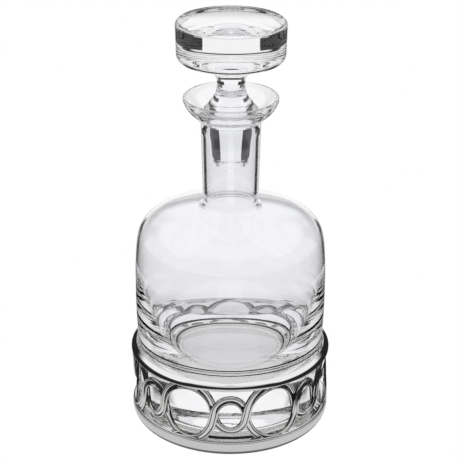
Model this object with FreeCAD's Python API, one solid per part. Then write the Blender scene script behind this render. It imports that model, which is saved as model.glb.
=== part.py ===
"""Glass spirit decanter with a disc stopper, standing in an openwork silver gallery.

Origin: centre of the plane that the foot ring rests on. +Z points up through the stopper. Millimetres.
Every piece is turned about the Z axis except the two frieze strands, which wind round it.
"""
import FreeCAD, Part
import os
from math import atan2, cos, degrees, hypot, pi, radians, sin, tan

# Gallery: foot ring, seat ring and rim
FOOT_RADIUS = 57.5            # widest radius of the smooth foot band
FOOT_REST_RADIUS = 52.0       # outer edge of the plane that rests on the table
FOOT_BORE_RADIUS = 50.0
FOOT_BAND_TOP = 9.6           # the bead starts here
FOOT_TOP = 11.0
FOOT_BEAD_RADIUS = 57.1
SEAT_TOP = 12.0               # the bottle rests here
SEAT_RADIUS = 53.2
SEAT_BORE_RADIUS = 40.0
SEAT_STEP_RADIUS = 45.0
SEAT_STEP_DEPTH = 1.2         # the inner shelf lies this far below the seat
SEAT_THICKNESS = 1.5
RIM_BOTTOM = 43.0
RIM_TOP = 47.4
RIM_EDGE_TOP = 46.47          # the rim's slope starts here
RIM_RADIUS = 57.85            # outermost edge of the rim
RIM_LIP_RADIUS = 54.5         # top lip, just clear of the glass
RIM_BORE_RADIUS = 53.9

# Gallery: two strands that weave round seven large and seven small rings
RING_PAIRS = 7
STRAND_WIDTH = 4.9
STRAND_THICKNESS = 1.5
BEAD_WIDTH = 1.2              # raised bead along each edge of a strand
CHANNEL_DEPTH = 0.55          # channel between the beads
STRAND_MID_RADIUS = 55.45
WEAVE = 0.85                  # how far a strand swings out and in where it crosses
RING_HEIGHT = 26.7            # height of the ring centres
CROSSING_SHARE = 0.366        # crossing's place on the way from a small ring's centre to a large one's
CROSSING_TILT = radians(13)   # a strand's lean from the vertical where it crosses, before stretching
RING_STRETCH = 1.10           # rings are this much taller than wide
STEPS_PER_SWING = 14          # places along a strand from one ring's centre to the next
PITCH = STRAND_MID_RADIUS * pi / RING_PAIRS   # from a small ring's centre to a large one's, along the arc
SMALL_RING = CROSSING_SHARE * PITCH * cos(CROSSING_TILT)          # ring radii before stretching
LARGE_RING = (1 - CROSSING_SHARE) * PITCH * cos(CROSSING_TILT)

# Bottle
GLASS_BASE_RADIUS = 53.3
GLASS_BASE_ROUND = 5.0
GLASS_BASE_STRAIGHT = 43.0    # the base widens from this height
DISH_RADIUS = 38.0            # shallow hollow under the base
DISH_DEPTH = 1.2
GLASS_BODY_RADIUS = 54.6
GLASS_BODY_HEIGHT = 90.0      # height of the widest ring
SHOULDER_TOP = 131.8
BOWL_RADIUS = 52.9            # the liquid space ends below in a bowl with this radius at its top
BOWL_TOP = 94.0
BOWL_FLOOR = 37.0             # the glass below this is solid
BOWL_FLOOR_POWER = 5.5        # how flat the floor is
BOWL_WALL_POWER = 1.75        # how slowly the wall starts to lean in
BOWL_STEPS = 14
NECK_LOW_RADIUS = 15.7
NECK_TOP_RADIUS = 16.8
NECK_TOP = 183.0
NECK_WALL = 2.2
THROAT_LOW = (14.3, 178.0)    # the bore widens as far as here, then closes in to the ground cone
LIP_RADIUS = 26.75
LIP_TOP = 197.1
LIP_THICKNESS = 1.8

# Stopper
SEAT_CLEARANCE = 0.1          # between the stopper's ground cone and the bottle's throat
CONE_LOW = (13.6, 182.4)      # ground cone of the throat, as (radius, height)
CONE_HIGH = (15.2, 187.2)
PLUG_BOTTOM = 158.2
PLUG_BOTTOM_RADIUS = 10.1
PLUG_TOP_RADIUS = 12.0
COLLAR_TOP = 190.8
WAIST = [(11.0, 195.3), (8.7, 199.1), (7.95, 202.6), (7.95, 205.9), (8.5, 208.5), (10.4, 212.4)]
KNOB_BOTTOM = 217.6
KNOB_TOP = 240.3
KNOB_DOME = 0.7               # the knob's face rises this much more at its centre
KNOB_RADIUS = 30.7
KNOB_LOW_RADIUS = 30.3
KNOB_TOP_ROUND = 2.2
KNOB_LOW_ROUND = 4.7


class Outline:
    """A pen that draws the half section of a turned piece in (radius, height), anticlockwise."""

    def __init__(self, radius, height):
        self.first = FreeCAD.Vector(radius, 0, height)
        self.last = self.first
        self.edges = []

    def line(self, radius, height):
        """Goes straight to a point."""
        end = FreeCAD.Vector(radius, 0, height)
        self.edges.append(Part.makeLine(self.last, end))
        self.last = end
        return self

    def arc(self, radius, height, angle):
        """Goes to a point on a circular arc whose direction turns left by angle degrees on the way."""
        end = FreeCAD.Vector(radius, 0, height)
        chord = end - self.last
        rise = tan(radians(angle) / 4) / 2
        middle = (self.last + end) / 2 + FreeCAD.Vector(chord.z, 0, -chord.x) * rise
        self.edges.append(Part.Arc(self.last, middle, end).toShape())
        self.last = end
        return self

    def curve(self, leave, places, arrive):
        """Goes smoothly through places, leaving and arriving in the given directions."""
        points = [self.last] + [FreeCAD.Vector(radius, 0, height) for radius, height in places]
        spline = Part.BSplineCurve()
        spline.interpolate(
            Points=points,
            InitialTangent=FreeCAD.Vector(leave[0], 0, leave[1]),
            FinalTangent=FreeCAD.Vector(arrive[0], 0, arrive[1]),
        )
        self.edges.append(spline.toShape())
        self.last = points[-1]
        return self

    def bowl(self, floor):
        """Goes down and in to the axis where across ** floor power + down ** wall power is 1."""
        radius, top = self.last.x, self.last.z
        places = []
        for step in range(1, BOWL_STEPS):
            angle = pi / 2 * step / BOWL_STEPS
            across = cos(angle) ** (2 / BOWL_FLOOR_POWER)
            down = sin(angle) ** (2 / BOWL_WALL_POWER)
            places.append((radius * across, top - (top - floor) * down))
        return self.curve((0, -1), places + [(0, floor)], (-1, 0))

    def turn(self):
        """Closes the outline with a straight edge and turns it about the Z axis."""
        if (self.last - self.first).Length > 1e-6:
            self.line(self.first.x, self.first.z)
        face = Part.Face(Part.Wire(self.edges))
        return face.revolve(FreeCAD.Vector(0, 0, 0), FreeCAD.Vector(0, 0, 1), 360)


def foot_ring():
    """Smooth band that tapers in to the resting plane, with a bead on top. The seat fits inside it."""
    outline = Outline(FOOT_BORE_RADIUS, 0)
    outline.line(FOOT_REST_RADIUS, 0)
    outline.arc(FOOT_RADIUS, FOOT_BAND_TOP - 2.4, 68)
    outline.line(FOOT_RADIUS, FOOT_BAND_TOP)
    outline.line(FOOT_BEAD_RADIUS, FOOT_BAND_TOP)
    outline.arc(FOOT_BEAD_RADIUS - 0.8, FOOT_TOP, 110)
    outline.line(SEAT_RADIUS, FOOT_TOP)
    outline.line(SEAT_RADIUS, SEAT_TOP - SEAT_STEP_DEPTH - SEAT_THICKNESS)
    outline.line(FOOT_BORE_RADIUS, SEAT_TOP - SEAT_STEP_DEPTH - SEAT_THICKNESS)
    return outline.turn()


def seat_ring():
    """Flat ring that carries the bottle, with a lower shelf round its open middle."""
    underside = SEAT_TOP - SEAT_STEP_DEPTH - SEAT_THICKNESS
    outline = Outline(SEAT_BORE_RADIUS, underside)
    outline.line(SEAT_RADIUS, underside)
    outline.line(SEAT_RADIUS, SEAT_TOP)
    outline.line(SEAT_STEP_RADIUS, SEAT_TOP)
    outline.line(SEAT_STEP_RADIUS, SEAT_TOP - SEAT_STEP_DEPTH)
    outline.line(SEAT_BORE_RADIUS, SEAT_TOP - SEAT_STEP_DEPTH)
    return outline.turn()


def gallery_rim():
    """Rim with a rounded outer edge and a slope up to a thin lip just clear of the glass."""
    outline = Outline(RIM_BORE_RADIUS, RIM_BOTTOM)
    outline.line(RIM_RADIUS - 0.9, RIM_BOTTOM)
    outline.arc(RIM_RADIUS, RIM_BOTTOM + 0.9, 90)
    outline.line(RIM_RADIUS, RIM_BOTTOM + 1.3)
    outline.arc(RIM_RADIUS - 1.25, RIM_EDGE_TOP, 60)
    outline.line(RIM_LIP_RADIUS + 0.4, RIM_TOP)
    outline.arc(RIM_LIP_RADIUS, RIM_TOP - 0.2, 120)
    outline.line(RIM_LIP_RADIUS, RIM_TOP - 1.2)
    outline.line(RIM_BORE_RADIUS, RIM_TOP - 2.4)
    return outline.turn()


def swing():
    """One swing of a strand on the unrolled cylinder, from over a small ring to under a large one.

    Returns (along, up, lean) places. Both rings are circles about their centres, joined by the straight
    line that touches both, as a crossed belt does. Heights are stretched afterwards.
    """
    sweep = pi / 2 - CROSSING_TILT
    straight = PITCH * sin(CROSSING_TILT)
    length = (SMALL_RING + LARGE_RING) * sweep + straight
    places = []
    for step in range(STEPS_PER_SWING + 1):
        travel = length * step / STEPS_PER_SWING
        left = length - travel
        if travel < SMALL_RING * sweep:
            lean = travel / SMALL_RING
            along = SMALL_RING * sin(lean)
            up = SMALL_RING * cos(lean)
        elif left < LARGE_RING * sweep:
            lean = left / LARGE_RING
            along = PITCH - LARGE_RING * sin(lean)
            up = -LARGE_RING * cos(lean)
        else:
            lean = sweep
            run = travel - SMALL_RING * sweep
            along = SMALL_RING * sin(lean) + run * cos(lean)
            up = SMALL_RING * cos(lean) - run * sin(lean)
        places.append((along, up, lean))
    return places


def strand_course():
    """Centre line of a whole strand: (along, up, sideways direction) places round the cylinder."""
    out = swing()[:-1]
    back = [(2 * PITCH - along, up, -lean) for along, up, lean in swing()[:0:-1]]
    course = []
    for pair in range(RING_PAIRS):
        for along, up, lean in out + back:
            sideways = (sin(lean), cos(lean) / RING_STRETCH)
            size = hypot(*sideways)
            course.append((
                2 * PITCH * pair + along,
                RING_STRETCH * up,
                (sideways[0] / size, sideways[1] / size),
            ))
    return course


def strand_rail(side, across, outward):
    """Closed curve that follows a strand at a place of its section, as one edge for each swing."""
    points = []
    for along, up, sideways in strand_course():
        angle = (along + across * sideways[0]) / STRAND_MID_RADIUS
        height = RING_HEIGHT + side * (up + across * sideways[1])
        swing_out = -side * WEAVE * sin(pi * along / PITCH) / sin(pi * CROSSING_SHARE)
        radius = STRAND_MID_RADIUS + outward + swing_out
        points.append(FreeCAD.Vector(radius * sin(angle), -radius * cos(angle), height))
    rail = Part.BSplineCurve()
    rail.interpolate(Points=points, PeriodicFlag=True, Parameters=list(range(len(points) + 1)))
    swings = range(0, len(points), STEPS_PER_SWING)
    return [rail.toShape(first, first + STEPS_PER_SWING) for first in swings]


def frieze_strand(side):
    """A closed strap of channelled section that weaves in and out as it winds round the cylinder.

    side is 1 for the strand that passes over the small rings and -1 for its mirror image.
    """
    half = STRAND_WIDTH / 2
    groove = half - BEAD_WIDTH
    face = STRAND_THICKNESS / 2
    section = [
        (-half, -face), (-half, face), (-groove, face), (-groove, face - CHANNEL_DEPTH),
        (groove, face - CHANNEL_DEPTH), (groove, face), (half, face), (half, -face),
    ]
    rails = [strand_rail(side, across, outward) for across, outward in section]
    faces = []
    for rail, following in zip(rails, rails[1:] + rails[:1]):
        faces += [Part.makeRuledSurface(a, b) for a, b in zip(rail, following)]
    shell = Part.makeShell(faces)
    shell.sewShape()
    strand = Part.Solid(shell)
    if strand.Volume < 0:
        strand.reverse()
    return strand


def decanter_bottle():
    """Heavy-based bottle blown in one piece: body, low domed shoulder, neck and flared lip."""
    lip_round = LIP_THICKNESS / 2
    bore_low = NECK_LOW_RADIUS - NECK_WALL
    outline = Outline(0, SEAT_TOP + DISH_DEPTH)
    outline.arc(DISH_RADIUS, SEAT_TOP, -2 * degrees(atan2(DISH_DEPTH, DISH_RADIUS)))
    outline.line(GLASS_BASE_RADIUS - GLASS_BASE_ROUND, SEAT_TOP)
    outline.arc(GLASS_BASE_RADIUS, SEAT_TOP + GLASS_BASE_ROUND, 90)
    outline.line(GLASS_BASE_RADIUS, GLASS_BASE_STRAIGHT)
    outline.curve((0, 1), [(54.25, 60), (GLASS_BODY_RADIUS, GLASS_BODY_HEIGHT)], (0, 1))
    outline.curve(
        (0, 1),
        [(53.9, 106), (51.7, 117.4), (46.6, 123.7), (37, 128), (NECK_LOW_RADIUS + 3.2, SHOULDER_TOP)],
        (-1, 0.16),
    )
    outline.arc(NECK_LOW_RADIUS, SHOULDER_TOP + 3.6, -80)
    outline.line(NECK_TOP_RADIUS, NECK_TOP)
    outline.curve(
        (0.8, 0.6),
        [(19.7, 185.4), (24.2, 190.2), (LIP_RADIUS, LIP_TOP - lip_round)],
        (0.1, 1),
    )
    outline.arc(LIP_RADIUS - LIP_THICKNESS, LIP_TOP - lip_round, 180)
    outline.curve((-0.1, -1), [(22.6, 192.3), (19.2, 189.6), CONE_HIGH], (-0.9, -0.4))
    outline.line(*CONE_LOW)
    outline.line(*THROAT_LOW)
    outline.line(bore_low, SHOULDER_TOP + 4)
    outline.arc(bore_low + 3.6, SHOULDER_TOP - 1.7, 74)
    outline.curve(
        (1, -0.16),
        [(36, 126), (45, 122), (49.9, 116.2), (52.1, 106), (BOWL_RADIUS, BOWL_TOP)],
        (0, -1),
    )
    outline.bowl(BOWL_FLOOR)
    return outline.turn()


def stopper():
    """Solid stopper: tapered plug, ground cone and collar, waisted stem and thick disc knob."""
    outline = Outline(0, PLUG_BOTTOM)
    outline.line(PLUG_BOTTOM_RADIUS - 0.5, PLUG_BOTTOM)
    outline.line(PLUG_BOTTOM_RADIUS, PLUG_BOTTOM + 0.6)
    outline.line(PLUG_TOP_RADIUS, CONE_LOW[1] - 1.2)
    outline.arc(CONE_LOW[0] - SEAT_CLEARANCE, CONE_LOW[1], -60)
    outline.line(CONE_HIGH[0] - SEAT_CLEARANCE, CONE_HIGH[1])
    outline.line(CONE_HIGH[0] - SEAT_CLEARANCE, COLLAR_TOP - 0.5)
    outline.arc(CONE_HIGH[0] - 0.6, COLLAR_TOP, 45)
    outline.curve((-0.64, 0.77), WAIST + [(17, KNOB_BOTTOM)], (1, 0.1))
    outline.line(KNOB_LOW_RADIUS - KNOB_LOW_ROUND, KNOB_BOTTOM)
    outline.arc(KNOB_LOW_RADIUS, KNOB_BOTTOM + KNOB_LOW_ROUND, 88)
    outline.line(KNOB_RADIUS, KNOB_TOP - KNOB_TOP_ROUND)
    outline.arc(KNOB_RADIUS - KNOB_TOP_ROUND, KNOB_TOP, 86)
    outline.curve((-1, 0.05), [(0, KNOB_TOP + KNOB_DOME)], (-1, 0))
    return outline.turn()


def main():
    """Writes one STEP file for each piece."""
    rim = gallery_rim()
    foot = foot_ring()
    seat = seat_ring()
    pieces = {
        "foot_ring": foot,
        "seat_ring": seat,
        "gallery_rim": rim,
        "frieze_strand_upper": frieze_strand(-1).cut(rim).cut(foot),
        "frieze_strand_lower": frieze_strand(1).cut(rim).cut(foot),
        "decanter_bottle": decanter_bottle(),
        "stopper": stopper(),
    }
    os.makedirs("parts", exist_ok=True)
    for name, shape in pieces.items():
        shape.exportStep(f"parts/{name}.step")
        print(name, shape.isValid(), len(shape.Solids), round(shape.Volume / 1000, 2), "cm3")


main()
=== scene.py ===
"""Blender scene of a glass decanter in an openwork silver gallery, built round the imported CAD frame."""

import bpy
import numpy as np
from functools import reduce
from math import atan2, cos, degrees, hypot, pi, radians, sin, tan
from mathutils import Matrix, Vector


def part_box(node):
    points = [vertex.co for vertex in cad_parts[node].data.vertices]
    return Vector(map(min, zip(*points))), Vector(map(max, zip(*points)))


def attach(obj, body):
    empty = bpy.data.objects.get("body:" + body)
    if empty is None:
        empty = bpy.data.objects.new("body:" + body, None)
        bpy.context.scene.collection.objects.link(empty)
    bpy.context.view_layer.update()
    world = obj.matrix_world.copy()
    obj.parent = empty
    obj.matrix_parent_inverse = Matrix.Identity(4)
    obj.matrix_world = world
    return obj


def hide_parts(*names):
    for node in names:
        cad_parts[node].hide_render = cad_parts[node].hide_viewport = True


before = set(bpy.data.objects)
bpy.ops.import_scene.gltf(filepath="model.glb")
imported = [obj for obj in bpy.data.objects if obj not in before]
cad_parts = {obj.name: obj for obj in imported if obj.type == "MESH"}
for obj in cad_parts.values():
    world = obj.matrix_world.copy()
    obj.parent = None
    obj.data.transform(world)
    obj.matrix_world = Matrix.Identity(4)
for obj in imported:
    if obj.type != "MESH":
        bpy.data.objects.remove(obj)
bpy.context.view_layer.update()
MM = 0.001                    # outlines and sizes are in millimetres, meshes and the studio in metres


# Sizes: those that a CAD node's box gives are read from it


def extent(node):
    """(lowest, highest, radius) of a turned CAD node, in millimetres."""
    low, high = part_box(node)
    return low.z / MM, high.z / MM, max(high.x, -low.x) / MM


FOOT_LOW, FOOT_TOP, FOOT_RADIUS = extent("foot_ring")
SEAT_LOW, SEAT_TOP, SEAT_RADIUS = extent("seat_ring")
RIM_LOW, _, RIM_RADIUS = extent("gallery_rim")
GLASS_LOW, GLASS_TOP, GLASS_RADIUS = extent("decanter_bottle")
PLUG_LOW, KNOB_PEAK, KNOB_RADIUS = extent("stopper")

# Gallery
FOOT_BORE = 50.0
FOOT_REST = 52.0              # outer edge of the plane that rests on the table
FOOT_CURVE_TOP = 7.2          # the foot's side is upright above this
FOOT_BAND_TOP = 9.6           # the bead starts here
FOOT_BEAD_RADIUS = 57.1
SEAT_BORE = 40.0
SEAT_STEP = 45.0              # radius of the step between seat and shelf
SHELF_DEPTH = 1.2
RIM_HEIGHT = 4.4
RIM_BORE = 53.9
RIM_LIP = 54.5                # inner edge of the rim's top, just clear of the glass
SMALL_ROUND = 0.3             # rounding of small silver edges

# Frieze: two strands that weave round seven large and seven small rings
RING_PAIRS = 7
STRAND_RADIUS = 55.45
RING_HEIGHT = 26.7            # height of the ring centres
STRETCH = 1.10                # rings are this much taller than wide
TILT = radians(13)            # a strand's lean from the vertical where it crosses, before stretching
CROSSING_SHARE = 0.366        # crossing's place on the way from a small ring's centre to a large one's
PITCH = STRAND_RADIUS * pi / RING_PAIRS   # from a small ring's centre to a large one's, along the arc
SMALL_RING = CROSSING_SHARE * PITCH * cos(TILT)           # ring radii before stretching
LARGE_RING = (1 - CROSSING_SHARE) * PITCH * cos(TILT)
WEAVE = 0.85                  # how far a strand swings out and in where it crosses
FACE_LEAN = 0.024             # a strand's face leans up above the ring centres and down below them
SWING_STEPS = 56              # places along a strand from one ring's centre to the next

# Bottle
BASE_RADIUS = 53.3
BASE_ROUND = 5.0
BASE_STRAIGHT = 43.0          # the base widens from this height
DISH_RADIUS = 38.0            # shallow hollow under the base
DISH_DEPTH = 1.2
WIDEST_HEIGHT = 90.0
SHOULDER_TOP = 131.8
NECK_LOW_RADIUS = 15.7
NECK_TOP_RADIUS = 16.8
NECK_TOP = 183.0
NECK_WALL = 2.2
LIP_RADIUS = 26.75
LIP_THICKNESS = 1.8
THROAT_LOW = (14.3, 178.0)    # the bore widens as far as here, then closes in to the ground cone
CONE_LOW = (13.6, 182.4)      # ground cone of the throat, as (radius, height)
CONE_HIGH = (15.2, 187.2)
BOWL_RADIUS = 52.9            # the liquid space ends below in a bowl with this radius at its top
BOWL_TOP = 94.0
BOWL_FLOOR = 37.0
BOWL_FLOOR_POWER = 5.5        # how flat the floor is
BOWL_WALL_POWER = 1.75        # how slowly the wall starts to lean in

# Stopper
CLEARANCE = 0.1               # between the stopper's ground cone and the throat
PLUG_LOW_RADIUS = 10.1
PLUG_TOP_RADIUS = 12.0
COLLAR_TOP = 190.8
WAIST = [(11.0, 195.3), (8.7, 199.1), (7.95, 202.6), (7.95, 205.9), (8.5, 208.5), (10.4, 212.4)]
KNOB_LOW = 217.6
KNOB_LOW_RADIUS = 30.3
KNOB_LOW_ROUND = 4.7
KNOB_TOP = 240.3
KNOB_TOP_ROUND = 2.2

# How finely surfaces are divided
TURN_STEPS = 256              # faces round a turned piece
BOWL_STEPS = 72
LINE_SPACING = 3.0
CURVE_SPACING = 0.9
ARC_SPACING = 7               # degrees


# Outlines


def smooth_through(points, leave, arrive):
    """Places along the clamped cubic spline through points, without the first one."""
    points = np.array(points, float)
    chords = np.linalg.norm(np.diff(points, axis=0), axis=1)
    count = len(points)
    system = np.zeros((count, count))
    right = np.zeros((count, 2))
    system[0, 0] = system[-1, -1] = 1
    right[0] = np.array(leave) / hypot(*leave)
    right[-1] = np.array(arrive) / hypot(*arrive)
    for i in range(1, count - 1):
        before, after = chords[i - 1], chords[i]
        system[i, i - 1: i + 2] = after, 2 * (before + after), before
        slope_before = (points[i] - points[i - 1]) / before
        slope_after = (points[i + 1] - points[i]) / after
        right[i] = 3 * (after * slope_before + before * slope_after)
    slopes = np.linalg.solve(system, right)
    places = []
    for i, chord in enumerate(chords):
        steps = max(2, int(chord / CURVE_SPACING))
        for step in range(1, steps + 1):
            t = step / steps
            places.append(
                (2 * t**3 - 3 * t**2 + 1) * points[i]
                + (t**3 - 2 * t**2 + t) * chord * slopes[i]
                + (3 * t**2 - 2 * t**3) * points[i + 1]
                + (t**3 - t**2) * chord * slopes[i + 1]
            )
    return places


class Outline:
    """A pen that draws a turned piece's half section in (radius, height), anticlockwise."""

    def __init__(self, radius, height):
        self.places = [np.array((radius, height), float)]

    def line(self, radius, height):
        """Goes straight to a point."""
        start = self.places[-1]
        end = np.array((radius, height), float)
        steps = max(1, int(np.linalg.norm(end - start) / LINE_SPACING))
        self.places += [start + (end - start) * i / steps for i in range(1, steps + 1)]

    def arc(self, radius, height, angle):
        """Goes to a point on an arc whose direction turns left by angle degrees on the way."""
        start = self.places[-1]
        end = np.array((radius, height), float)
        chord = end - start
        turn = radians(angle)
        centre = (start + end) / 2 + np.array((-chord[1], chord[0])) / (2 * tan(turn / 2))
        spoke = start - centre
        steps = max(3, int(abs(angle) / ARC_SPACING))
        for i in range(1, steps + 1):
            c, s = cos(turn * i / steps), sin(turn * i / steps)
            turned_spoke = np.array((c * spoke[0] - s * spoke[1], s * spoke[0] + c * spoke[1]))
            self.places.append(centre + turned_spoke)

    def curve(self, leave, places, arrive):
        """Goes smoothly through places, leaving and arriving in the given directions."""
        self.places += smooth_through([self.places[-1], *places], leave, arrive)

    def bowl(self, floor):
        """Goes down and in to the axis where across ** floor power + down ** wall power is 1."""
        radius, top = self.places[-1]
        for step in range(1, BOWL_STEPS):
            angle = pi / 2 * step / BOWL_STEPS
            across = cos(angle) ** (2 / BOWL_FLOOR_POWER)
            down = sin(angle) ** (2 / BOWL_WALL_POWER)
            self.places.append(np.array((radius * across, top - (top - floor) * down)))
        self.places.append(np.array((0.0, floor)))


def new_object(name, vertices, faces, material, crease):
    """A mesh object from millimetre vertices, smooth but for edges sharper than crease degrees."""
    mesh = bpy.data.meshes.new(name)
    mesh.from_pydata([Vector(v) * MM for v in vertices], [], faces)
    mesh.validate()
    mesh.shade_smooth()
    mesh.set_sharp_from_angle(angle=radians(crease))
    mesh.materials.append(material)
    made = bpy.data.objects.new(name, mesh)
    bpy.context.scene.collection.objects.link(made)
    return made


def turned(name, outline, material):
    """The closed mesh made by turning an outline about the Z axis."""
    touching = 1e-6
    places = outline.places
    if np.linalg.norm(places[-1] - places[0]) < touching:
        places = places[:-1]
    on_axis = [place[0] < touching for place in places]
    vertices = []
    starts = []
    for (radius, height), single in zip(places, on_axis):
        starts.append(len(vertices))
        for step in range(1 if single else TURN_STEPS):
            angle = 2 * pi * step / TURN_STEPS
            vertices.append((radius * cos(angle), radius * sin(angle), height))
    faces = []
    for i in range(len(places)):
        j = (i + 1) % len(places)
        if on_axis[i] and on_axis[j]:
            continue
        for step in range(TURN_STEPS):
            after = (step + 1) % TURN_STEPS
            ring_i = [starts[i]] if on_axis[i] else [starts[i] + step, starts[i] + after]
            ring_j = [starts[j]] if on_axis[j] else [starts[j] + after, starts[j] + step]
            faces.append(ring_i + ring_j)
    return new_object(name, vertices, faces, material, 35)


# Materials


class Nodes:
    """Small helper that adds and links nodes of one material or world."""

    def __init__(self, owner):
        owner.use_nodes = True
        self.tree = owner.node_tree
        self.tree.nodes.clear()

    def add(self, kind, inputs=(), **settings):
        """A new node whose inputs are values or other nodes' outputs."""
        node = self.tree.nodes.new(kind)
        for key, value in settings.items():
            setattr(node, key, value)
        for key, value in dict(inputs).items():
            if isinstance(value, bpy.types.NodeSocket):
                self.tree.links.new(value, node.inputs[key])
            else:
                node.inputs[key].default_value = value
        return node

    def math(self, operation, *values):
        return self.add("ShaderNodeMath", enumerate(values), operation=operation).outputs[0]

    def product(self, *values):
        return reduce(lambda a, b: self.math("MULTIPLY", a, b), values)

    def largest(self, *values):
        return reduce(lambda a, b: self.math("MAXIMUM", a, b), values)

    def length(self, x, y):
        """The length of a level vector."""
        squares = self.math("ADD", self.math("POWER", x, 2.0), self.math("POWER", y, 2.0))
        return self.math("SQRT", squares)

    def offset(self, value, middle):
        """How far value is from middle, either way."""
        return self.math("ABSOLUTE", self.math("SUBTRACT", value, middle))

    def ramp(self, value, low, high, to_low=0.0, to_high=1.0):
        """value's smooth step from low to high, as a number from to_low to to_high."""
        node = self.add(
            "ShaderNodeMapRange",
            {"Value": value, "From Min": low, "From Max": high, "To Min": to_low, "To Max": to_high},
            interpolation_type="SMOOTHSTEP",
        )
        return node.outputs[0]

    def angle_ramp(self, angle, low, high, to_low=0.0, to_high=1.0):
        """The same for an angle, with low and high in degrees."""
        return self.ramp(angle, radians(low), radians(high), to_low, to_high)

    def noise(self, vector, scale, detail=2.0):
        """Values from 0 to 1; scale is in waves for each metre."""
        node = self.add("ShaderNodeTexNoise", {"Vector": vector, "Scale": scale, "Detail": detail})
        return node.outputs[0]

    def bump(self, height, strength, depth):
        """Normals of a surface whose height varies by up to depth metres."""
        node = self.add("ShaderNodeBump", {"Height": height, "Strength": strength, "Distance": depth})
        return node.outputs[0]


CRYSTAL_TINT = (0.985, 0.987, 1.0, 1)
CRYSTAL_IOR = 1.54
# Dark colour mixed into silver: blotchy tarnish, and painted shade in sheltered places and on the frieze
# strands' outer sides.
TARNISH_AND_SHADE_TINT = (0.05, 0.05, 0.045, 1)
TURNING_MARKS = (60, 60, 1500)   # their scale along X, Y and Z: long round the axis and fine along it
SHELTER_REACH = 0.004            # metres within which a surface counts as sheltered


def glass(name, ripple, base_ripple=0.0):
    """Clear crystal with a very slight waviness left by blowing or polishing.

    base_ripple adds finer waves to the thick base, as a share of the others.
    """
    material = bpy.data.materials.new(name)
    nodes = Nodes(material)
    place = nodes.add("ShaderNodeTexCoord").outputs["Object"]
    height = nodes.add("ShaderNodeSeparateXYZ", {0: place}).outputs["Z"]
    in_base = nodes.ramp(height, 0.030, 0.050, base_ripple, 0.0)
    fine = nodes.product(nodes.noise(place, 150.0, 3.0), in_base)
    wave = nodes.math("ADD", nodes.noise(place, 38.0), fine)
    bump = nodes.bump(wave, ripple, 0.0004)
    smear = nodes.ramp(nodes.noise(place, 90.0, 5.0), 0.45, 0.75, 0.0, 0.012)
    body = nodes.add("ShaderNodeBsdfPrincipled", {
        "Base Color": CRYSTAL_TINT, "Roughness": smear, "IOR": CRYSTAL_IOR,
        "Transmission Weight": 1.0, "Normal": bump,
    })
    nodes.add("ShaderNodeOutputMaterial", {"Surface": body.outputs[0]})
    return material


def silver(name, colour, roughness, scratch, sheltered=0.40):
    """Silver with faint turning marks, blotchy tarnish, painted shade in sheltered places, and darkening
    where a mesh attribute is high.

    The attribute holds painted shade on the frieze strands' outer sides and a dark line in their grooves.
    sheltered is the share of the unshaded colour that is left where a surface is sheltered most.
    """
    material = bpy.data.materials.new(name)
    nodes = Nodes(material)
    place = nodes.add("ShaderNodeTexCoord").outputs["Object"]
    stretched = nodes.add("ShaderNodeMapping", {"Vector": place, "Scale": TURNING_MARKS}).outputs[0]
    marks = nodes.noise(stretched, 1.0, 4.0)
    cloud = nodes.noise(place, 70.0, 4.0)
    reach = {"Distance": SHELTER_REACH}
    openness = nodes.add("ShaderNodeAmbientOcclusion", reach, samples=6, only_local=True).outputs["AO"]
    shade_and_groove_dark = nodes.add("ShaderNodeAttribute", attribute_name="shade_and_groove_dark").outputs["Fac"]
    # Painted shade where ambient occlusion finds the surface sheltered and where the mesh attribute is
    # high, and blotchy tarnish where the cloud is low.
    clean_and_unshaded = nodes.product(
        nodes.ramp(openness, 0.15, 0.65, sheltered, 1.0),
        nodes.ramp(shade_and_groove_dark, 0.1, 0.9, 1.0, 0.0),
        nodes.ramp(cloud, 0.3, 0.7, 0.97, 1.0),
    )
    shades = {"Factor": clean_and_unshaded, "A": TARNISH_AND_SHADE_TINT, "B": (*colour, 1)}
    shade = nodes.add("ShaderNodeMix", shades, data_type="RGBA").outputs["Result"]
    rough = nodes.ramp(marks, 0.3, 0.8, roughness * 0.7, roughness * 1.5)
    bump = nodes.bump(marks, scratch, 0.0001)
    body = nodes.add("ShaderNodeBsdfPrincipled", {
        "Base Color": shade, "Metallic": 1.0, "Roughness": rough, "Normal": bump,
    })
    nodes.add("ShaderNodeOutputMaterial", {"Surface": body.outputs[0]})
    return material


# Turned pieces


def foot_ring():
    """Smooth band that tapers in to the resting plane, with a bead on top."""
    outline = Outline(FOOT_BORE, FOOT_LOW)
    outline.line(FOOT_REST, FOOT_LOW)
    outline.arc(FOOT_RADIUS, FOOT_CURVE_TOP, 68)
    outline.line(FOOT_RADIUS, FOOT_BAND_TOP - SMALL_ROUND)
    outline.arc(FOOT_RADIUS - SMALL_ROUND, FOOT_BAND_TOP, 90)
    outline.line(FOOT_BEAD_RADIUS, FOOT_BAND_TOP)
    outline.arc(FOOT_BEAD_RADIUS - 0.8, FOOT_TOP, 110)
    outline.line(SEAT_RADIUS, FOOT_TOP)
    outline.line(SEAT_RADIUS, SEAT_LOW)
    outline.line(FOOT_BORE, SEAT_LOW)
    outline.line(FOOT_BORE, FOOT_LOW)
    return outline


def seat_ring():
    """Flat ring that carries the bottle, with a lower shelf round its open middle."""
    shelf = SEAT_TOP - SHELF_DEPTH
    step_round = 0.4
    outline = Outline(SEAT_BORE + SMALL_ROUND, SEAT_LOW)
    outline.line(SEAT_RADIUS, SEAT_LOW)
    outline.line(SEAT_RADIUS, SEAT_TOP)
    outline.line(SEAT_STEP + step_round, SEAT_TOP)
    outline.arc(SEAT_STEP, SEAT_TOP - step_round, 90)
    outline.line(SEAT_STEP, shelf)
    outline.line(SEAT_BORE + SMALL_ROUND, shelf)
    outline.arc(SEAT_BORE, shelf - SMALL_ROUND, 90)
    outline.line(SEAT_BORE, SEAT_LOW + SMALL_ROUND)
    outline.arc(SEAT_BORE + SMALL_ROUND, SEAT_LOW, 90)
    return outline


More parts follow.
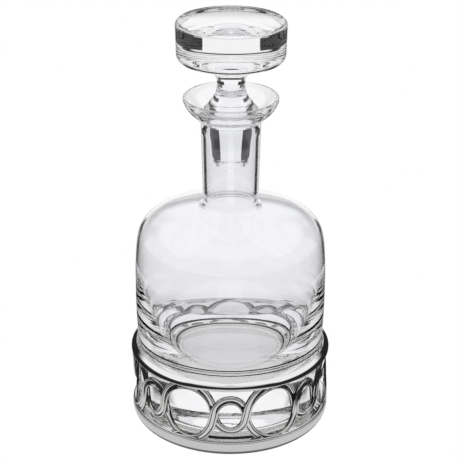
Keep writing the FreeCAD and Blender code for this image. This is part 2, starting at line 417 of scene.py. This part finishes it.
def gallery_rim():
    """Rim with a rounded outer edge and a slope up to a thin lip just clear of the glass."""
    top = RIM_LOW + RIM_HEIGHT
    edge_round = 0.9
    outline = Outline(RIM_BORE, RIM_LOW)
    outline.line(RIM_RADIUS - edge_round, RIM_LOW)
    outline.arc(RIM_RADIUS, RIM_LOW + edge_round, 90)
    outline.line(RIM_RADIUS, RIM_LOW + 1.3)
    outline.arc(RIM_RADIUS - 1.25, RIM_LOW + 3.47, 60)
    outline.line(RIM_LIP + 0.4, top)
    outline.arc(RIM_LIP, top - 0.2, 120)
    outline.line(RIM_LIP, top - 1.2)
    outline.line(RIM_BORE, top - 2.4)
    outline.line(RIM_BORE, RIM_LOW)
    return outline


def bottle():
    """Heavy-based bottle: body, low domed shoulder, neck and flared lip, and back down inside."""
    lip_round = LIP_THICKNESS / 2
    bore_low = NECK_LOW_RADIUS - NECK_WALL
    outline = Outline(0, GLASS_LOW + DISH_DEPTH)
    outline.arc(DISH_RADIUS, GLASS_LOW, -2 * degrees(atan2(DISH_DEPTH, DISH_RADIUS)))
    outline.line(BASE_RADIUS - BASE_ROUND, GLASS_LOW)
    outline.arc(BASE_RADIUS, GLASS_LOW + BASE_ROUND, 90)
    outline.line(BASE_RADIUS, BASE_STRAIGHT)
    outline.curve((0, 1), [(54.25, 60), (GLASS_RADIUS, WIDEST_HEIGHT)], (0, 1))
    shoulder = [(53.9, 106), (51.7, 117.4), (46.6, 123.7), (37, 128)]
    outline.curve((0, 1), shoulder + [(NECK_LOW_RADIUS + 3.2, SHOULDER_TOP)], (-1, 0.16))
    outline.arc(NECK_LOW_RADIUS, SHOULDER_TOP + 3.6, -80)
    outline.line(NECK_TOP_RADIUS, NECK_TOP)
    flare = [(19.7, 185.4), (24.2, 190.2), (LIP_RADIUS, GLASS_TOP - lip_round)]
    outline.curve((0.8, 0.6), flare, (0.1, 1))
    outline.arc(LIP_RADIUS - LIP_THICKNESS, GLASS_TOP - lip_round, 180)
    outline.curve((-0.1, -1), [(22.6, 192.3), (19.2, 189.6), CONE_HIGH], (-0.9, -0.4))
    outline.line(*CONE_LOW)
    outline.line(*THROAT_LOW)
    outline.line(bore_low, SHOULDER_TOP + 4)
    outline.arc(bore_low + 3.6, SHOULDER_TOP - 1.7, 74)
    inner_shoulder = [(36, 126), (45, 122), (49.9, 116.2), (52.1, 106), (BOWL_RADIUS, BOWL_TOP)]
    outline.curve((1, -0.16), inner_shoulder, (0, -1))
    outline.bowl(BOWL_FLOOR)
    return outline


def stopper():
    """Solid stopper: tapered plug, ground cone and collar, waisted stem and thick disc knob."""
    collar_radius = CONE_HIGH[0] - CLEARANCE
    outline = Outline(0, PLUG_LOW)
    outline.line(PLUG_LOW_RADIUS - 0.5, PLUG_LOW)
    outline.line(PLUG_LOW_RADIUS, PLUG_LOW + 0.6)
    outline.line(PLUG_TOP_RADIUS, CONE_LOW[1] - 1.2)
    outline.arc(CONE_LOW[0] - CLEARANCE, CONE_LOW[1], -60)
    outline.line(collar_radius, CONE_HIGH[1])
    outline.line(collar_radius, COLLAR_TOP - 0.5)
    outline.arc(collar_radius - 0.5, COLLAR_TOP, 45)
    outline.curve((-0.64, 0.77), WAIST + [(17, KNOB_LOW)], (1, 0.1))
    outline.line(KNOB_LOW_RADIUS - KNOB_LOW_ROUND, KNOB_LOW)
    outline.arc(KNOB_LOW_RADIUS, KNOB_LOW + KNOB_LOW_ROUND, 88)
    outline.line(KNOB_RADIUS, KNOB_TOP - KNOB_TOP_ROUND)
    outline.arc(KNOB_RADIUS - KNOB_TOP_ROUND, KNOB_TOP, 86)
    outline.curve((-1, 0.05), [(0, KNOB_PEAK)], (-1, 0))
    return outline


# Frieze


def swing():
    """(along, up, lean) places of one swing, from over a small ring to under a large one."""
    sweep = pi / 2 - TILT
    length = (SMALL_RING + LARGE_RING) * sweep + PITCH * sin(TILT)
    places = []
    for step in range(SWING_STEPS):
        travel = length * step / SWING_STEPS
        left = length - travel
        if travel < SMALL_RING * sweep:
            lean = travel / SMALL_RING
            places.append((SMALL_RING * sin(lean), SMALL_RING * cos(lean), lean))
        elif left < LARGE_RING * sweep:
            lean = left / LARGE_RING
            places.append((PITCH - LARGE_RING * sin(lean), -LARGE_RING * cos(lean), lean))
        else:
            run = travel - SMALL_RING * sweep
            along = SMALL_RING * sin(sweep) + run * cos(sweep)
            places.append((along, SMALL_RING * cos(sweep) - run * sin(sweep), sweep))
    return places


def strand_section():
    """(across, outward, darkening) corners: a bead along each edge, grooves, and a hollow face between.

    The darkening is painted shade on the outer sides and a dark line in each groove.
    """
    half_width = 2.45
    back = -0.75
    bead_middle, bead_height, bead_round = 1.82, 0.30, 0.46
    bead_corners = 7
    groove, groove_floor = 1.12, -0.1
    face, face_edge, face_hollow = 0.90, 0.36, 0.30
    face_corners = 7
    # The darkening on the outer side walls is painted shade; the groove corner further on gets a dark
    # line.
    section = [(-half_width + 0.2, back, 0.5), (-half_width, back + 0.2, 0.8), (-half_width, 0.0, 1.0)]
    for corner in range(bead_corners):
        angle = radians(165 - 25 * corner)
        section.append((
            -bead_middle + bead_round * cos(angle), bead_height + bead_round * sin(angle), 0.0,
        ))
    section.append((-groove, groove_floor, 1.0))
    for corner in range(face_corners):
        across = -face * cos(pi / 2 * corner / (face_corners - 1))
        section.append((across, face_edge - face_hollow * (1 - (across / face) ** 2), 0.0))
    other_half = [(-across, outward, shade_and_groove_dark) for across, outward, shade_and_groove_dark in section[-2::-1]]
    return section + other_half


def strand(name, side, material):
    """One strand of the frieze: side is 1 for the one over the small rings, -1 for the other."""
    out = swing()
    crest = (PITCH, -LARGE_RING, 0.0)
    back = [(2 * PITCH - along, up, -lean) for along, up, lean in out[:0:-1]]
    course = []
    for pair in range(RING_PAIRS):
        course += [(2 * PITCH * pair + along, up, lean) for along, up, lean in out + [crest] + back]
    section = strand_section()
    vertices = []
    shade_and_groove_darks = []
    for along, up, lean in course:
        sideways = np.array((sin(lean), cos(lean) / STRETCH))
        sideways /= np.linalg.norm(sideways)
        swing_out = -side * WEAVE * sin(pi * along / PITCH) / sin(pi * CROSSING_SHARE)
        for across, outward, shade_and_groove_dark in section:
            shade_and_groove_darks.append(shade_and_groove_dark)
            angle = (along + across * sideways[0]) / STRAND_RADIUS
            rise = across * sideways[1]
            radius = STRAND_RADIUS + swing_out + outward - FACE_LEAN * STRETCH * up * rise
            height = RING_HEIGHT + side * (STRETCH * up + rise)
            vertices.append((radius * sin(angle), -radius * cos(angle), height))
    size, count = len(section), len(course)
    faces = []
    for i in range(count):
        for k in range(size):
            corners = [(i, k), (i, k + 1), (i + 1, k + 1), (i + 1, k)]
            face = [(a % count) * size + b % size for a, b in corners]
            faces.append(face[::side])
    made = new_object(name, vertices, faces, material, 40)
    # Stores the darkening per vertex: painted shade on the outer sides, a dark line in the grooves.
    made.data.attributes.new("shade_and_groove_dark", "FLOAT", "POINT").data.foreach_set("value", shade_and_groove_darks)
    return made


# Object

CRYSTAL = glass("bottle_crystal", 0.03, 1.2)
STOPPER_CRYSTAL = glass("stopper_crystal", 0.015)
# The same silver in four copies whose brightness differs part by part, darkest on the seat and brightest
# on the frieze: painted light and shade, set to how bright each part looks.
FOOT_SILVER = silver("foot_silver", (0.86, 0.86, 0.86), 0.16, 0.10)
SEAT_SILVER = silver("seat_silver", (0.80, 0.79, 0.76), 0.12, 0.20, 0.65)
RIM_SILVER = silver("rim_silver", (0.90, 0.90, 0.89), 0.05, 0.03)
FRIEZE_SILVER = silver("frieze_silver", (0.95, 0.95, 0.94), 0.05, 0.04)

PIECES = [
    (turned("foot", foot_ring(), FOOT_SILVER), "gallery", "foot_ring", "silver_foot"),
    (turned("seat", seat_ring(), SEAT_SILVER), "gallery", "seat_ring", "silver_seat"),
    (turned("rim", gallery_rim(), RIM_SILVER), "gallery", "gallery_rim", "silver_rim"),
    (strand("strand_upper", -1, FRIEZE_SILVER), "gallery", "frieze_strand_upper", "silver_frieze"),
    (strand("strand_lower", 1, FRIEZE_SILVER), "gallery", "frieze_strand_lower", "silver_frieze"),
    (turned("bottle", bottle(), CRYSTAL), "bottle", "decanter_bottle", "bottle_glass"),
    (turned("stopper_glass", stopper(), STOPPER_CRYSTAL), "stopper", "stopper", "stopper_glass"),
]
for piece, body, node, slot in PIECES:
    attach(piece, body)
    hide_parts(node)


# Camera

CAMERA_DISTANCE = 0.852       # from the axis, level, in metres
CAMERA_HEIGHT = 0.494
CAMERA_PITCH = radians(23.9)
CAMERA_ROLL = radians(0.23)
SENSOR_WIDTH = 36             # millimetres
LENS = 127.878
LENS_SHIFT = -0.006957        # share of the image's width

scene = bpy.context.scene
camera_data = bpy.data.cameras.new("camera")
camera = bpy.data.objects.new("camera", camera_data)
scene.collection.objects.link(camera)
camera_data.sensor_width = SENSOR_WIDTH
camera_data.lens = LENS
camera_data.shift_x = LENS_SHIFT
camera.location = (0, -CAMERA_DISTANCE, CAMERA_HEIGHT)
camera.rotation_euler = (pi / 2 - CAMERA_PITCH, -CAMERA_ROLL, 0)
bpy.context.scene.camera = camera


# Studio. It turns with the camera, so that the light is the same from every side: its +Y points away
# from the camera. The camera itself sees plain white; the rest is what glass and silver show.

studio = bpy.data.objects.new("studio", None)
scene.collection.objects.link(studio)
follow = studio.constraints.new("COPY_ROTATION")
follow.target = camera
follow.use_x = False
follow.use_y = False

WHITE = 0.95                  # brightness of the backdrop and ceiling
TABLE = 0.64                  # brightness of the table beside and in front of the object
DARK = 0.02                   # brightness of the unlit rest
BESIDE_GLASS = 0.95           # share of white beside and behind the camera, when seen through the glass
CEILING_SILVER = 0.68         # share of white that silver sees in the ceiling
GLASS_WIDENS = 16             # the backdrop's edges are this much further aside when seen through glass

# Where parts of the studio end, as (start, end) of a soft edge in degrees
BACKDROP_EDGE = (12, 22)      # azimuth from straight ahead
BAND_MIDDLE = 10              # elevation of a dark band across the backdrop
BAND_EDGE = (4, 7)            # above and below the band's middle
CEILING_EDGE = (44, 60)
SIDE_LOW_EDGE = (25, 36)      # the white above and beside the object, in elevation
SIDE_BACK_EDGE = (112, 128)   # the same in azimuth
BESIDE_EDGE = (46, 56)        # azimuth from which glass sees white
WALL_EDGE = (21, 22)          # the far table below the backdrop
FAN_EDGE = (29, 32)           # the middle table, when seen through glass

# The same on the table, in metres
SHEET_EDGE = (0.078, 0.090)   # half the width of a white sheet under the object
SHEET_FRONT = (-0.45, -0.40)
WALL_FRONT = (0.52, 0.54)
FAN_BACK = (0.54, 0.56)
NEAR_EDGE = (0.25, 0.28)      # white table round the object, when seen through glass
TABLE_FADE = (0.06, 0.14)     # from the table's brightness to white
CONTACT_RADIUS = 0.054        # a thin shadow lies under the foot
CONTACT_EDGE = (0.002, 0.004)
CONTACT_SHADE = 0.2


def studio_world():
    """The light that glass and silver see above the table."""
    world = bpy.data.worlds.new("studio_world")
    scene.world = world
    nodes = Nodes(world)
    toward = nodes.add("ShaderNodeTexCoord", object=studio).outputs["Object"]
    split = nodes.add("ShaderNodeSeparateXYZ", {0: toward}).outputs
    elevation = nodes.math("ARCTAN2", split["Z"], nodes.length(split["X"], split["Y"]))
    azimuth = nodes.math("ABSOLUTE", nodes.math("ARCTAN2", split["X"], split["Y"]))
    ray = nodes.add("ShaderNodeLightPath").outputs
    through = ray["Is Transmission Ray"]
    aside = nodes.math("SUBTRACT", azimuth, nodes.product(through, radians(GLASS_WIDENS)))
    off_band = nodes.offset(elevation, radians(BAND_MIDDLE))
    backdrop = nodes.product(
        nodes.angle_ramp(aside, *BACKDROP_EDGE, 1.0, 0.0),
        nodes.angle_ramp(off_band, *BAND_EDGE),
    )
    ceiling_share = nodes.math("ADD", nodes.product(through, 1 - CEILING_SILVER), CEILING_SILVER)
    ceiling = nodes.product(nodes.angle_ramp(elevation, *CEILING_EDGE), ceiling_share)
    sides = nodes.product(
        nodes.angle_ramp(azimuth, *SIDE_BACK_EDGE, 1.0, 0.0),
        nodes.angle_ramp(elevation, *SIDE_LOW_EDGE),
    )
    beside = nodes.product(nodes.angle_ramp(azimuth, *BESIDE_EDGE, 0.0, BESIDE_GLASS), through)
    light = nodes.largest(backdrop, ceiling, sides, beside)
    brightness = nodes.math("ADD", nodes.product(light, WHITE - DARK), DARK)
    strength = nodes.largest(brightness, ray["Is Camera Ray"])
    back = nodes.add("ShaderNodeBackground", {"Color": (1, 1, 1, 1), "Strength": strength})
    nodes.add("ShaderNodeOutputWorld", {"Surface": back.outputs[0]})


def studio_floor():
    """Plain pale table. In silver it is a narrow white sheet that widens towards the backdrop."""
    reach = 3.0
    corners = [(-reach, -reach, 0), (reach, -reach, 0), (reach, reach, 0), (-reach, reach, 0)]
    mesh = bpy.data.meshes.new("floor")
    mesh.from_pydata(corners, [], [(0, 1, 2, 3)])
    floor = bpy.data.objects.new("floor", mesh)
    scene.collection.objects.link(floor)
    material = bpy.data.materials.new("pale_floor")
    nodes = Nodes(material)
    place = nodes.add("ShaderNodeTexCoord", object=studio).outputs["Object"]
    split = nodes.add("ShaderNodeSeparateXYZ", {0: place}).outputs
    behind = split["Y"]
    aside = nodes.math("ABSOLUTE", split["X"])
    away = nodes.length(split["X"], behind)
    azimuth = nodes.math("ARCTAN2", aside, nodes.largest(behind, 0.01))
    ray = nodes.add("ShaderNodeLightPath").outputs
    sheet = nodes.product(
        nodes.ramp(aside, *SHEET_EDGE, 1.0, 0.0),
        nodes.ramp(behind, *SHEET_FRONT),
    )
    wall = nodes.product(
        nodes.angle_ramp(azimuth, *WALL_EDGE, 1.0, 0.0),
        nodes.ramp(behind, *WALL_FRONT),
    )
    fan = nodes.product(
        nodes.angle_ramp(azimuth, *FAN_EDGE, 1.0, 0.0),
        nodes.ramp(behind, *FAN_BACK, 1.0, 0.0),
    )
    near = nodes.ramp(away, *NEAR_EDGE, 1.0, 0.0)
    glass_sees = nodes.product(nodes.largest(fan, near), ray["Is Transmission Ray"])
    lit = nodes.largest(sheet, glass_sees, wall)
    contact = nodes.ramp(nodes.offset(away, CONTACT_RADIUS), *CONTACT_EDGE, CONTACT_SHADE, 1.0)
    level = nodes.product(nodes.ramp(behind, *TABLE_FADE, TABLE, WHITE), contact)
    strength = nodes.largest(nodes.product(lit, level), DARK, ray["Is Camera Ray"])
    glow = nodes.add("ShaderNodeEmission", {"Color": (1, 1, 1, 1), "Strength": strength})
    nodes.add("ShaderNodeOutputMaterial", {"Surface": glow.outputs[0]})
    mesh.materials.append(material)


studio_world()
studio_floor()

scene.view_settings.view_transform = "Standard"
scene.cycles.max_bounces = 128            # with fewer, rays that wander in the thick glass turn black
scene.cycles.transmission_bounces = 128
scene.cycles.glossy_bounces = 64
scene.cycles.caustics_reflective = True
scene.cycles.caustics_refractive = True
